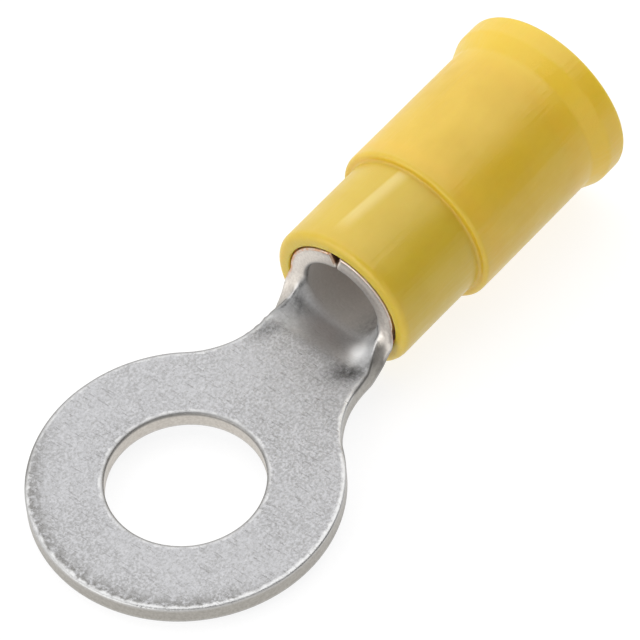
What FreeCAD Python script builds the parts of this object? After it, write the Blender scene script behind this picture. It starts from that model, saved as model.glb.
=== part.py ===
import FreeCAD, Part
import math
import os
from FreeCAD import Vector as V, Placement, Rotation

# Insulated crimp ring terminal.
# Frame: origin at the centre of the stud hole on the underside of the tongue,
# +X along the barrel towards the wire entry, +Z up through the stud hole.

doc = FreeCAD.newDocument("insulated_ring_terminal")

# ---------------------------------------------------------------- sizes (mm)
SIZES = [
    # tongue
    ("stock_thickness", 0.80),       # copper sheet of the stamping
    ("tongue_radius", 6.30),         # outer radius of the ring tongue
    ("stud_hole_dia", 6.40),         # M6 or 1/4 in stud with clearance
    ("neck_half_width", 2.61),       # half width of the neck
    ("neck_ring_fillet", 4.00),      # concave radius between ring and neck
    # barrel
    ("barrel_axis_height", 2.15),    # barrel axis above the tongue underside
    ("barrel_outer_dia", 5.20),
    ("barrel_front", 9.75),          # front edge of the rolled barrel
    ("barrel_rear", 15.00),
    ("flap_fillet", 1.30),           # root radius between neck and barrel flap
    ("barrel_entry_chamfer", 0.30),
    ("floor_bend_start", 7.72),      # where the neck floor starts to drop
    ("curl_start", 7.45),            # where the sides start to curl up
    # stations of the curl: position along X, and curvature as a part of the barrel's
    ("curl_one", 8.15), ("curl_one_part", 0.10),
    ("curl_two", 8.60), ("curl_two_part", 0.35),
    ("curl_three", 8.95), ("curl_three_part", 0.57),
    ("curl_four", 9.25), ("curl_four_part", 0.745),
    ("curl_five", 9.55), ("curl_five_part", 0.86),
    # wire-grip grooves inside the barrel
    ("groove_width", 0.50),
    ("groove_depth", 0.12),
    ("groove_one", 12.00),
    ("groove_two", 12.90),
    ("groove_three", 13.80),
    # butted seam along the top of the barrel: the flaps' inner corners meet and
    # the gap between their edges opens outwards
    ("seam_half_width", 0.24),
    ("seam_angle", 4.5),             # degrees from the top of the barrel
    ("seam_land", 0.14),
    ("seam_inner_width", 0.10),
    ("seam_inner_depth", 0.07),
    # support sleeve
    ("sleeve_wall", 0.22),
    ("sleeve_front", 9.95),          # just behind the nylon's front lip
    ("sleeve_step_start", 15.10),
    ("sleeve_step_end", 15.55),
    ("sleeve_wide_radius", 3.25),    # outer radius of its wide rear section
    ("sleeve_rear", 20.20),
    # insulating sleeve
    ("shell_front_radius", 3.30),
    ("shell_rear_radius", 3.68),
    ("shell_shoulder", 14.40),
    ("shell_flare_start", 21.20),
    ("shell_rim_start", 22.00),
    ("shell_rim_radius", 4.00),
    ("shell_rear_end", 22.95),
    ("shell_rim_bore", 3.55),
    ("shell_lip_bore", 2.69),        # lip that closes over the front of the support sleeve
    ("shell_mouth_round", 0.36),
    ("shell_shoulder_round", 0.26),
    ("shell_flare_round", 0.40),
    ("shell_rim_round", 0.16),
]
sheet = doc.addObject("Spreadsheet::Sheet", "Sizes")
for row, (alias, value) in enumerate(SIZES, start=1):
    sheet.set("A%d" % row, alias)
    sheet.set("B%d" % row, "%g" % value)
    sheet.setAlias("B%d" % row, alias)
doc.recompute()


def size(name):
    return float(getattr(sheet, name))


def origin_plane(body, role):
    for feature in body.Origin.OriginFeatures:
        if feature.Role == role:
            return feature
    raise RuntimeError("no plane " + role)


def polygon_sketch(body, name, plane_role, points, bindings):
    """A closed polygon; each vertex is held by two distances from the sketch
    origin, bound to the sheet through bindings[i] = (x expression, y expression)."""
    import Sketcher
    sketch = body.newObject("Sketcher::SketchObject", name)
    sketch.AttachmentSupport = [(origin_plane(body, plane_role), "")]
    sketch.MapMode = "FlatFace"
    n = len(points)
    for i in range(n):
        a, b = points[i], points[(i + 1) % n]
        sketch.addGeometry(Part.LineSegment(V(a[0], a[1], 0), V(b[0], b[1], 0)), False)
    for i in range(n):
        sketch.addConstraint(Sketcher.Constraint("Coincident", i, 2, (i + 1) % n, 1))
    for i, (x, y) in enumerate(points):
        for axis, value in (("DistanceX", x), ("DistanceY", y)):
            expression = bindings[i][0 if axis == "DistanceX" else 1]
            index = sketch.addConstraint(Sketcher.Constraint(axis, -1, 1, i, 1, value))
            label = "p%d%s" % (i, axis[-1].lower())
            sketch.renameConstraint(index, label)
            sketch.setExpression("Constraints." + label, expression)
    return sketch


def profile(entries):
    """entries: list of (x expression, y expression) in terms of the aliases."""
    points, bindings = [], []
    names = {alias: size(alias) for alias, _ in SIZES}
    for ex, ey in entries:
        out = []
        for e in (ex, ey):
            total = 0.0
            for term in e.replace("- ", "+ -").split("+ "):
                term = term.strip()
                if not term:
                    continue
                sign = -1.0 if term.startswith("-") else 1.0
                term = term.lstrip("-").strip()
                factor = 1.0
                if " / " in term:
                    term, divisor = term.split(" / ")
                    factor = 1.0 / float(divisor)
                total += sign * factor * (names[term] if term in names else float(term))
            out.append(total)
        points.append(tuple(out))
        text = []
        for e in (ex, ey):
            words = []
            for word in e.split(" "):
                words.append("Sizes." + word if word in names else word)
            text.append(" ".join(words))
        bindings.append(tuple(text))
    return points, bindings


def revolved_body(name, label, entries):
    body = doc.addObject("PartDesign::Body", name)
    body.Label = label
    points, bindings = profile(entries)
    sketch = polygon_sketch(body, name + "_half_section", "XY_Plane", points, bindings)
    turn = body.newObject("PartDesign::Revolution", name + "_turn")
    turn.Profile = sketch
    turn.ReferenceAxis = (sketch, ["H_Axis"])
    turn.Angle = 360.0
    sketch.Visibility = False
    doc.recompute()
    return body, turn


def circle_edges(shape, wanted):
    """Names of the circular edges at (x, radius) about the X axis."""
    found = []
    for i, edge in enumerate(shape.Edges, start=1):
        curve = edge.Curve
        if curve.TypeId != "Part::GeomCircle":
            continue
        for x, r in wanted:
            if abs(curve.Center.x - x) < 1e-4 and abs(curve.Radius - r) < 1e-4:
                found.append("Edge%d" % i)
    return found


def rounded(body, base, name, wanted, radius_expression):
    edges = circle_edges(base.Shape, wanted)
    if not edges:
        raise RuntimeError("no edges for " + name)
    fillet = body.newObject("PartDesign::Fillet", name)
    fillet.Base = (base, edges)
    fillet.Radius = 0.1
    fillet.setExpression("Radius", radius_expression)
    doc.recompute()
    return fillet


# --------------------------------------------- insulating sleeve (nylon shell)
# Half section about the barrel axis: outer profile from the mouth to the rim,
# then the bore from the rim back to the mouth.
shell, shell_turn = revolved_body("InsulatingSleeve", "insulating_sleeve", [
    ("barrel_front", "shell_lip_bore"),
    ("barrel_front", "shell_front_radius"),
    ("shell_shoulder", "shell_front_radius"),
    ("shell_shoulder", "shell_rear_radius"),
    ("shell_flare_start", "shell_rear_radius"),
    ("shell_rim_start", "shell_rim_radius"),
    ("shell_rear_end", "shell_rim_radius"),
    ("shell_rear_end", "shell_rim_bore"),
    ("shell_flare_start", "sleeve_wide_radius"),
    ("sleeve_step_end", "sleeve_wide_radius"),
    ("sleeve_step_start", "barrel_outer_dia / 2 + sleeve_wall"),
    ("sleeve_front", "barrel_outer_dia / 2 + sleeve_wall"),
    ("sleeve_front", "shell_lip_bore"),
])
r_front, r_rear, r_rim = size("shell_front_radius"), size("shell_rear_radius"), size("shell_rim_radius")
mouth = rounded(shell, shell_turn, "mouth_round", [(size("barrel_front"), r_front)], "Sizes.shell_mouth_round")
shoulder = rounded(shell, mouth, "shoulder_round",
                   [(size("shell_shoulder"), r_rear)], "Sizes.shell_shoulder_round")
flare = rounded(shell, shoulder, "flare_round",
                [(size("shell_flare_start"), r_rear), (size("shell_rim_start"), r_rim)], "Sizes.shell_flare_round")
rim = rounded(shell, flare, "rim_round",
              [(size("shell_rear_end"), r_rim), (size("shell_rear_end"), size("shell_rim_bore"))], "Sizes.shell_rim_round")
shell.setExpression("Placement.Base.z", "Sizes.barrel_axis_height")

# ------------------------------------------------- support sleeve (thin copper)
support, support_turn = revolved_body("SupportSleeve", "support_sleeve", [
    ("sleeve_front", "barrel_outer_dia / 2"),
    ("sleeve_front", "barrel_outer_dia / 2 + sleeve_wall"),
    ("sleeve_step_start", "barrel_outer_dia / 2 + sleeve_wall"),
    ("sleeve_step_end", "sleeve_wide_radius"),
    ("sleeve_rear", "sleeve_wide_radius"),
    ("sleeve_rear", "sleeve_wide_radius - sleeve_wall"),
    ("sleeve_step_end", "sleeve_wide_radius - sleeve_wall"),
    ("sleeve_step_start", "barrel_outer_dia / 2"),
])
support.setExpression("Placement.Base.z", "Sizes.barrel_axis_height")

# -------------------------------------------------------- ring terminal stamping
t = size("stock_thickness")
R = size("tongue_radius")
w0 = size("neck_half_width")
rf = size("neck_ring_fillet")
za = size("barrel_axis_height")
ro = size("barrel_outer_dia") / 2.0
ri = ro - t
rm = ro - t / 2.0
xb = size("barrel_front")
rflap = size("flap_fillet")
xcurl = size("curl_start")
xfloor = size("floor_bend_start")

# the ring-to-neck fillet touches the ring circle and the neck's straight side
fy = w0 + rf
fx = math.sqrt((R + rf) ** 2 - fy ** 2)
tangent = (fx * R / (R + rf), fy * R / (R + rf))

# flat blank: ring and neck, as a padded sketch with arcs
tongue = doc.addObject("PartDesign::Body", "Tongue")
tongue.Label = "tongue_blank"
import Sketcher
outline = tongue.newObject("Sketcher::SketchObject", "tongue_outline")
outline.AttachmentSupport = [(origin_plane(tongue, "XY_Plane"), "")]
outline.MapMode = "FlatFace"
a_ring = math.atan2(tangent[1], tangent[0])
a_start = math.atan2(tangent[1] - fy, tangent[0] - fx)
end_y = fy - math.sqrt(rf ** 2 - (xcurl - fx) ** 2)
a_end = math.atan2(end_y - fy, xcurl - fx)
# 0: ring, from the upper tangent point round the front to the lower one
outline.addGeometry(Part.ArcOfCircle(Part.Circle(V(0, 0, 0), V(0, 0, 1), R), a_ring, 2 * math.pi - a_ring), False)
# 1: upper fillet, 2: lower fillet
outline.addGeometry(Part.ArcOfCircle(Part.Circle(V(fx, fy, 0), V(0, 0, 1), rf), a_start, a_end), False)
outline.addGeometry(Part.ArcOfCircle(Part.Circle(V(fx, -fy, 0), V(0, 0, 1), rf), -a_end, -a_start), False)
# 3: end of the flat neck
outline.addGeometry(Part.LineSegment(V(xcurl, end_y, 0), V(xcurl, -end_y, 0)), False)
outline.addConstraint(Sketcher.Constraint("Coincident", 0, 3, -1, 1))
outline.addConstraint(Sketcher.Constraint("Tangent", 0, 1, 1, 1))
outline.addConstraint(Sketcher.Constraint("Tangent", 0, 2, 2, 2))
outline.addConstraint(Sketcher.Constraint("Coincident", 1, 2, 3, 1))
outline.addConstraint(Sketcher.Constraint("Coincident", 2, 1, 3, 2))
outline.addConstraint(Sketcher.Constraint("Symmetric", 3, 1, 3, 2, -1))
for kind, arguments, label, expression in (
        ("Radius", (0, R), "ring", "Sizes.tongue_radius"),
        ("Radius", (1, rf), "fillet_up", "Sizes.neck_ring_fillet"),
        ("Radius", (2, rf), "fillet_low", "Sizes.neck_ring_fillet"),
        ("DistanceY", (-1, 1, 1, 3, fy), "neck_up", "Sizes.neck_half_width + Sizes.neck_ring_fillet"),
        ("DistanceX", (-1, 1, 3, 1, xcurl), "flat_end", "Sizes.curl_start")):
    index = outline.addConstraint(Sketcher.Constraint(kind, *arguments))
    outline.renameConstraint(index, label)
    outline.setExpression("Constraints." + label, expression)
doc.recompute()
pad = tongue.newObject("PartDesign::Pad", "tongue_pad")
pad.Profile = outline
pad.Length = t
pad.setExpression("Length", "Sizes.stock_thickness")
doc.recompute()
full_volume = tongue.Shape.Volume
hole_sketch = tongue.newObject("Sketcher::SketchObject", "stud_hole_circle")
hole_sketch.AttachmentSupport = [(origin_plane(tongue, "XY_Plane"), "")]
hole_sketch.MapMode = "FlatFace"
hole_sketch.addGeometry(Part.Circle(V(0, 0, 0), V(0, 0, 1), size("stud_hole_dia") / 2), False)
hole_sketch.addConstraint(Sketcher.Constraint("Coincident", 0, 3, -1, 1))
i = hole_sketch.addConstraint(Sketcher.Constraint("Diameter", 0, size("stud_hole_dia"))); hole_sketch.renameConstraint(i, "hole")
hole_sketch.setExpression("Constraints.hole", "Sizes.stud_hole_dia")
hole = tongue.newObject("PartDesign::Pocket", "stud_hole")
hole.Profile = hole_sketch
hole.Type = "ThroughAll"
hole.Midplane = True
doc.recompute()
drilled = full_volume - tongue.Shape.Volume
wanted = math.pi * (size("stud_hole_dia") / 2) ** 2 * t
if abs(drilled - wanted) > 1e-3 * wanted:
    raise RuntimeError("stud hole volume %g, wanted %g" % (drilled, wanted))


# formed transition: the sheet's mid surface is an arc of curvature k(x) whose
# bottom is at height b(x), and the blank's half width is s(x)
def smooth_table(xs, ys):
    """monotone cubic through the stations"""
    n = len(xs)
    d = [(ys[i + 1] - ys[i]) / (xs[i + 1] - xs[i]) for i in range(n - 1)]
    m = [0.0] * n
    for i in range(1, n - 1):
        if d[i - 1] * d[i] > 0:
            h0, h1 = xs[i] - xs[i - 1], xs[i + 1] - xs[i]
            w1, w2 = 2 * h1 + h0, h1 + 2 * h0
            m[i] = (w1 + w2) / (w1 / d[i - 1] + w2 / d[i])
    m[n - 1] = d[n - 2]

    def value(x):
        if x <= xs[0]:
            return ys[0]
        if x >= xs[-1]:
            return ys[-1]
        i = 0
        while x > xs[i + 1]:
            i += 1
        h = xs[i + 1] - xs[i]
        u = (x - xs[i]) / h
        return ((2 * u ** 3 - 3 * u ** 2 + 1) * ys[i] + (u ** 3 - 2 * u ** 2 + u) * h * m[i]
                + (-2 * u ** 3 + 3 * u ** 2) * ys[i + 1] + (u ** 3 - u ** 2) * h * m[i + 1])
    return value


STATIONS = ("one", "two", "three", "four", "five")
curvature = smooth_table([xcurl] + [size("curl_" + n) for n in STATIONS] + [xb],
                         [0.0] + [size("curl_" + n + "_part") / rm for n in STATIONS] + [1.0 / rm])


def floor_mid(x):
    u = min(max((x - xfloor) / (xb - xfloor), 0.0), 1.0)
    return t / 2 + (za - rm - t / 2) * (u * u * (3 - 2 * u))


# the fillet between neck and flap meets the flap's straight front edge at a
# slight angle, as sheared, so its centre is a little nearer than its radius
FLAP_REACH = 0.965
xneck = xb - FLAP_REACH * rflap


def blank_half(x):
    if x <= fx:
        return fy - math.sqrt(rf ** 2 - (x - fx) ** 2)
    if x <= xneck:
        return w0
    return w0 + rflap - math.sqrt(rflap ** 2 - (x - xneck) ** 2)


def section_wire(x):
    k = max(curvature(x), 1e-3)
    r = 1.0 / k
    b = floor_mid(x)

    def point(side, offset):
        a = side * blank_half(x) * k
        return V(x, (r + offset) * math.sin(a), b + r - (r + offset) * math.cos(a))

    inside = Part.Arc(point(-1, -t / 2), point(0, -t / 2), point(1, -t / 2)).toShape()
    outside = Part.Arc(point(1, t / 2), point(0, t / 2), point(-1, t / 2)).toShape()
    return Part.Wire([inside, Part.makeLine(point(1, -t / 2), point(1, t / 2)),
                      outside, Part.makeLine(point(-1, t / 2), point(-1, -t / 2))])


stations = [xcurl + (xneck - xcurl) * j / 6.0 for j in range(6)]
stations += [xneck + rflap * math.sin(math.asin(FLAP_REACH) * j / 12.0) for j in range(13)]
transition = doc.addObject("Part::Feature", "Transition")
transition.Label = "formed_transition"
transition.Shape = Part.makeLoft([section_wire(x) for x in stations], True, False)

barrel_tube = doc.addObject("Part::Cylinder", "BarrelOuter")
barrel_tube.Label = "barrel_outside"
barrel_tube.setExpression("Radius", "Sizes.barrel_outer_dia / 2")
barrel_tube.setExpression("Height", "Sizes.barrel_rear - Sizes.barrel_front")
barrel_tube.Placement = Placement(V(xb, 0, za), Rotation(V(0, 1, 0), 90))
barrel_bore = doc.addObject("Part::Cylinder", "BarrelInner")
barrel_bore.Label = "barrel_bore"
barrel_bore.setExpression("Radius", "Sizes.barrel_outer_dia / 2 - Sizes.stock_thickness")
barrel_bore.setExpression("Height", "Sizes.barrel_rear - Sizes.barrel_front")
barrel_bore.Placement = Placement(V(xb, 0, za), Rotation(V(0, 1, 0), 90))
barrel = doc.addObject("Part::Cut", "Barrel")
barrel.Label = "barrel"
barrel.Base = barrel_tube
barrel.Tool = barrel_bore
doc.recompute()

stamping = doc.addObject("Part::MultiFuse", "Stamping")
stamping.Label = "formed_stamping"
stamping.Shapes = [tongue, transition, barrel]
doc.recompute()


def along_barrel(kind, name, label, start, radius, length):
    """A primitive whose axis is the barrel axis, starting at x = start."""
    o = doc.addObject(kind, name)
    o.Label = label
    for prop, expression in radius.items():
        o.setExpression(prop, expression)
    o.setExpression("Height", length)
    o.Placement = Placement(V(0, 0, 0), Rotation(V(0, 1, 0), 90))
    o.setExpression("Placement.Base.x", start)
    o.setExpression("Placement.Base.z", "Sizes.barrel_axis_height")
    return o


BORE = "Sizes.barrel_outer_dia / 2 - Sizes.stock_thickness"
cutters = []
# each wire-grip groove is a shallow V: two cones, base to base at its deepest line
for n in ("one", "two", "three"):
    cutters.append(along_barrel("Part::Cone", "Groove_" + n + "_front", "grip_groove_" + n + "_front",
                                "Sizes.groove_%s - Sizes.groove_width / 4" % n,
                                {"Radius1": BORE + " - Sizes.groove_depth / 2", "Radius2": BORE + " + Sizes.groove_depth"},
                                "Sizes.groove_width * 3 / 4"))
    cutters.append(along_barrel("Part::Cone", "Groove_" + n + "_rear", "grip_groove_" + n + "_rear",
                                "Sizes.groove_%s + Sizes.groove_width / 2" % n,
                                {"Radius1": BORE + " + Sizes.groove_depth", "Radius2": BORE + " - Sizes.groove_depth / 2"},
                                "Sizes.groove_width * 3 / 4"))
cutters.append(along_barrel("Part::Cone", "EntryChamfer", "entry_chamfer", "Sizes.barrel_rear - Sizes.barrel_entry_chamfer",
                            {"Radius1": "Sizes.barrel_outer_dia / 2 - Sizes.stock_thickness",
                             "Radius2": "Sizes.barrel_outer_dia / 2 - Sizes.stock_thickness + Sizes.barrel_entry_chamfer"},
                            "Sizes.barrel_entry_chamfer"))
seam_v = doc.addObject("Part::Wedge", "SeamGroove")
seam_v.Label = "seam_groove"
for prop, expression in {
    "Xmin": "0", "X2min": "0",
    "Xmax": "Sizes.barrel_rear - Sizes.barrel_front + 1", "X2max": "Sizes.barrel_rear - Sizes.barrel_front + 1",
    "Ymin": "0", "Ymax": "Sizes.stock_thickness - Sizes.seam_land + 0.1",
    "Zmin": "-0.005", "Zmax": "0.005",
    "Z2min": "-Sizes.seam_half_width * (Sizes.stock_thickness - Sizes.seam_land + 0.1) / (Sizes.stock_thickness - Sizes.seam_land)",
    "Z2max": "Sizes.seam_half_width * (Sizes.stock_thickness - Sizes.seam_land + 0.1) / (Sizes.stock_thickness - Sizes.seam_land)",
}.items():
    seam_v.setExpression(prop, expression)
# the wedge's Y axis points outwards from the barrel axis, its Z axis round the barrel
turn = Placement(V(0, 0, za), Rotation(V(1, 0, 0), -size("seam_angle")))
seam_v.Placement = turn.multiply(Placement(V(xb - 0.5, 0, ri + size("seam_land")), Rotation(V(1, 0, 0), 90)))
cutters.append(seam_v)
seam_i = doc.addObject("Part::Box", "SeamInner")
seam_i.Label = "seam_inner_line"
seam_i.setExpression("Length", "Sizes.barrel_rear - Sizes.barrel_front + 1")
seam_i.setExpression("Width", "Sizes.seam_inner_width")
seam_i.setExpression("Height", "0.3 + Sizes.seam_inner_depth")
seam_i.Placement = turn.multiply(Placement(V(xb - 0.5, -size("seam_inner_width") / 2, ri - 0.3), Rotation()))
cutters.append(seam_i)
tools = doc.addObject("Part::MultiFuse", "BarrelCutters")
tools.Label = "barrel_cutters"
tools.Shapes = cutters
terminal = doc.addObject("Part::Cut", "RingTerminal")
terminal.Label = "ring_terminal"
terminal.Base = stamping
terminal.Tool = tools
doc.recompute()

# ------------------------------------------------------------ checks and files
for o in doc.Objects:
    for state in o.State:
        if "Invalid" in state or "Error" in state:
            raise RuntimeError("%s is %s" % (o.Name, state))
before = stamping.Shape.Volume
removed = before - terminal.Shape.Volume
print("ring_terminal volume", round(terminal.Shape.Volume, 3), "removed by grooves", round(removed, 3))
if not 0.5 < removed < 8.0:
    raise RuntimeError("the grooves removed %g" % removed)
os.makedirs("parts", exist_ok=True)
for o in (terminal, support, shell):
    shape = o.Shape
    if shape.isNull() or not shape.isValid() or len(shape.Solids) != 1 or shape.Solids[0].Volume <= 0:
        raise RuntimeError("%s has no valid single solid" % o.Label)
for o in (terminal, support, shell):
    o.Shape.exportStep("parts/%s.step" % o.Label)
    b = o.Shape.BoundBox
    print(o.Label, "volume", round(o.Shape.Volume, 2), "x %.2f %.2f y %.2f %.2f z %.2f %.2f" % (b.XMin, b.XMax, b.YMin, b.YMax, b.ZMin, b.ZMax))
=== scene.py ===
import math

import bpy
import numpy as np
from mathutils import Matrix, Vector
from mathutils.geometry import delaunay_2d_cdt


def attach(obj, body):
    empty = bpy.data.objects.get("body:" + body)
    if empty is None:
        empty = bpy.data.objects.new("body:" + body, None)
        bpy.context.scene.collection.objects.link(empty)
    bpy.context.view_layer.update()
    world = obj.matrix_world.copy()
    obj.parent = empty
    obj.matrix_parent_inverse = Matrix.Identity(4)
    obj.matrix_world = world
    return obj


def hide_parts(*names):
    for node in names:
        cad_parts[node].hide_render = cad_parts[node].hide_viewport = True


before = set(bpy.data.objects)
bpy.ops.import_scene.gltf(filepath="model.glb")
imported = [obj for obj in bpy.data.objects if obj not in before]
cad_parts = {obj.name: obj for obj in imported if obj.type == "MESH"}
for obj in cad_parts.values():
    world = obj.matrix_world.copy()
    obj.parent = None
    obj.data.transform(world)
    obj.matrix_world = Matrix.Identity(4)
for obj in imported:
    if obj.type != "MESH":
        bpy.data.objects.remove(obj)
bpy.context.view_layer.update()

# An insulated crimp ring terminal: a tin-plated copper stamping, a thin copper support sleeve
# and a stepped yellow nylon insulating sleeve.  Row frame: origin at the stud hole, +X along
# the barrel, +Z up.  Lengths below are in millimetres until a mesh is made.
MM = 0.001
scene = bpy.context.scene
rng = np.random.default_rng(20)

# ------------------------------------------------------------------ stamping sizes
T = 0.80                  # sheet
R_RING = 6.30
R_HOLE = 3.20
W_NECK = 2.61
R_NECK = 4.00
Z_AXIS = 2.15
R_OUT = 2.60
R_IN = R_OUT - T
R_MID = R_OUT - T / 2
X_FRONT = 9.75
X_REAR = 15.00
R_FLAP = 1.30
X_CURL = 7.45
X_FLOOR = 7.72
STATIONS = [(7.45, 0.0), (8.15, 0.10), (8.60, 0.35), (8.95, 0.57), (9.25, 0.745), (9.55, 0.86), (9.75, 1.0)]
SEAM = math.radians(4.5)  # the seam's angle from the top of the barrel, towards +Y
GROOVES = (12.00, 12.90, 13.80)
GROOVE_W, GROOVE_D = 0.50, 0.12
FLAP_REACH = 0.965
X_NECK_END = X_FRONT - FLAP_REACH * R_FLAP
FY = W_NECK + R_NECK
FX = math.sqrt((R_RING + R_NECK) ** 2 - FY ** 2)


# ------------------------------------------------------------------ small helpers
def smooth_table(table):
    """Monotone cubic through the stations, vectorised."""
    xs = np.array([p[0] for p in table]); ys = np.array([p[1] for p in table])
    d = np.diff(ys) / np.diff(xs)
    m = np.zeros(len(xs))
    for i in range(1, len(xs) - 1):
        if d[i - 1] * d[i] > 0:
            h0, h1 = xs[i] - xs[i - 1], xs[i + 1] - xs[i]
            w1, w2 = 2 * h1 + h0, h1 + 2 * h0
            m[i] = (w1 + w2) / (w1 / d[i - 1] + w2 / d[i])
    m[-1] = d[-1]

    def value(x):
        x = np.clip(np.asarray(x, float), xs[0], xs[-1])
        i = np.clip(np.searchsorted(xs, x, side="right") - 1, 0, len(xs) - 2)
        h = xs[i + 1] - xs[i]
        u = (x - xs[i]) / h
        return ((2 * u ** 3 - 3 * u ** 2 + 1) * ys[i] + (u ** 3 - 2 * u ** 2 + u) * h * m[i]
                + (-2 * u ** 3 + 3 * u ** 2) * ys[i + 1] + (u ** 3 - u ** 2) * h * m[i + 1])
    return value


curl_part = smooth_table(STATIONS)


def smoothstep(u):
    u = np.clip(u, 0.0, 1.0)
    return u * u * (3 - 2 * u)


def lattice(seed):
    """Repeatable value noise of any number of points in 3-D, from -1 to 1."""
    table = np.random.default_rng(seed).uniform(-1, 1, 4096)

    def value(p):
        p = np.asarray(p, float)
        i = np.floor(p).astype(np.int64)
        f = p - i
        f = f * f * (3 - 2 * f)
        out = np.zeros(len(p))
        for dx in (0, 1):
            for dy in (0, 1):
                for dz in (0, 1):
                    h = ((i[:, 0] + dx) * 73856093) ^ ((i[:, 1] + dy) * 19349663) ^ ((i[:, 2] + dz) * 83492791)
                    w = ((f[:, 0] if dx else 1 - f[:, 0]) * (f[:, 1] if dy else 1 - f[:, 1])
                         * (f[:, 2] if dz else 1 - f[:, 2]))
                    out += w * table[h & 4095]
        return out
    return value


def arc(cx, cy, r, a0, a1, step):
    n = max(2, int(math.ceil(abs(a1 - a0) * r / step)))
    return [(cx + r * math.cos(a0 + (a1 - a0) * i / n), cy + r * math.sin(a0 + (a1 - a0) * i / n)) for i in range(n + 1)]


def line(a, b, step):
    n = max(1, int(math.ceil(math.dist(a, b) / step)))
    return [(a[0] + (b[0] - a[0]) * i / n, a[1] + (b[1] - a[1]) * i / n) for i in range(n + 1)]


def joined(*runs):
    out = []
    for run in runs:
        for p in run:
            if not out or math.dist(out[-1], p) > 1e-6:
                out.append(p)
    if math.dist(out[0], out[-1]) < 1e-6:
        out.pop()
    return np.array(out)


def new_object(name, verts, faces, smooth=True):
    mesh = bpy.data.meshes.new(name)
    mesh.from_pydata([tuple(v) for v in np.asarray(verts) * MM], [], faces)
    mesh.validate()
    mesh.update()
    if smooth:
        mesh.polygons.foreach_set("use_smooth", [True] * len(mesh.polygons))
    obj = bpy.data.objects.new(name, mesh)
    scene.collection.objects.link(obj)
    return obj


def attribute(obj, name, values):
    a = obj.data.attributes.new(name, "FLOAT", "POINT")
    a.data.foreach_set("value", np.asarray(values, np.float32))


# ------------------------------------------------------------------ the flat blank
STEP = 0.11
S_PLUS = R_MID * (math.pi - SEAM) - 0.003
S_MINUS = -R_MID * (math.pi + SEAM) + 0.003
CORNER = 0.16
a_ring = math.atan2(FY * R_RING / (R_RING + R_NECK), FX * R_RING / (R_RING + R_NECK))
a_fill = math.atan2(FY * R_RING / (R_RING + R_NECK) - FY, FX * R_RING / (R_RING + R_NECK) - FX)
flap_end = math.asin(FLAP_REACH)


def blank_side(sign, s_edge):
    """Outline of one side of the blank, from the ring's front to the rear of the barrel."""
    run = joined(
        arc(0, 0, R_RING, math.pi, a_ring, STEP),
        arc(FX, FY, R_NECK, a_fill + (2 * math.pi if a_fill < -math.pi else 0), -math.pi / 2, STEP),
        line((FX, W_NECK), (X_NECK_END, W_NECK), STEP),
        arc(X_NECK_END, W_NECK + R_FLAP, R_FLAP, -math.pi / 2, -math.pi / 2 + flap_end, 0.07),
        line((X_FRONT, W_NECK + R_FLAP - R_FLAP * math.cos(flap_end)), (X_FRONT, s_edge - CORNER), STEP),
        arc(X_FRONT + CORNER, s_edge - CORNER, CORNER, math.pi, math.pi / 2, 0.04),
        line((X_FRONT + CORNER, s_edge), (X_REAR - CORNER, s_edge), STEP),
        arc(X_REAR - CORNER, s_edge - CORNER, CORNER, math.pi / 2, 0, 0.04))
    run = run.copy()
    run[:, 1] *= sign
    return run


upper = blank_side(1, S_PLUS)
lower = blank_side(-1, -S_MINUS)
rear = np.array(line((X_REAR, S_PLUS - CORNER), (X_REAR, S_MINUS + CORNER), STEP))[1:-1]
# clockwise seen from above (+s up): front, up round the ring, along +s, down the rear, back along -s
outer_loop = np.vstack([upper, rear, lower[::-1][:-1]])
hole_n = 200
hole_loop = np.array([(R_HOLE * math.cos(2 * math.pi * i / hole_n), R_HOLE * math.sin(2 * math.pi * i / hole_n)) for i in range(hole_n)])


def signed_area(loop):
    x, y = loop[:, 0], loop[:, 1]
    return 0.5 * np.sum(x * np.roll(y, -1) - np.roll(x, -1) * y)


if signed_area(outer_loop) < 0:
    outer_loop = outer_loop[::-1].copy()      # counter-clockwise: the material is on the left
if signed_area(hole_loop) > 0:
    hole_loop = hole_loop[::-1].copy()        # clockwise: the material is on the left here too


def inward(loop):
    """Mitre vector at each vertex, towards the material."""
    e1 = loop - np.roll(loop, 1, axis=0)
    e2 = np.roll(loop, -1, axis=0) - loop
    n1 = np.c_[-e1[:, 1], e1[:, 0]] / np.linalg.norm(e1, axis=1)[:, None]
    n2 = np.c_[-e2[:, 1], e2[:, 0]] / np.linalg.norm(e2, axis=1)[:, None]
    return (n1 + n2) / (1 + np.sum(n1 * n2, axis=1))[:, None]


INSETS = [0.0, 0.012, 0.04, 0.08, 0.13, 0.19, 0.27]
loops = [(outer_loop, inward(outer_loop)), (hole_loop, inward(hole_loop))]

points, edges, depth, ring_ids = [], [], [], []
for loop, mitre in loops:
    ids = []
    for d in INSETS:
        base = len(points)
        ring = loop + mitre * d
        points += [tuple(p) for p in ring]
        depth += [d] * len(ring)
        edges += [(base + i, base + (i + 1) % len(ring)) for i in range(len(ring))]
        ids.append(base)
    ring_ids.append(ids)


def distance_to(loop, p):
    """Distance of points p from a closed polyline."""
    a, b = loop, np.roll(loop, -1, axis=0)
    best = np.full(len(p), 1e9)
    ab = b - a
    ll = np.sum(ab * ab, axis=1)
    for start in range(0, len(p), 2000):
        q = p[start:start + 2000]
        t = np.clip(((q[:, None, :] - a[None]) * ab[None]).sum(2) / ll[None], 0, 1)
        d = np.linalg.norm(q[:, None, :] - (a[None] + t[..., None] * ab[None]), axis=2).min(1)
        best[start:start + 2000] = d
    return best


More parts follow.
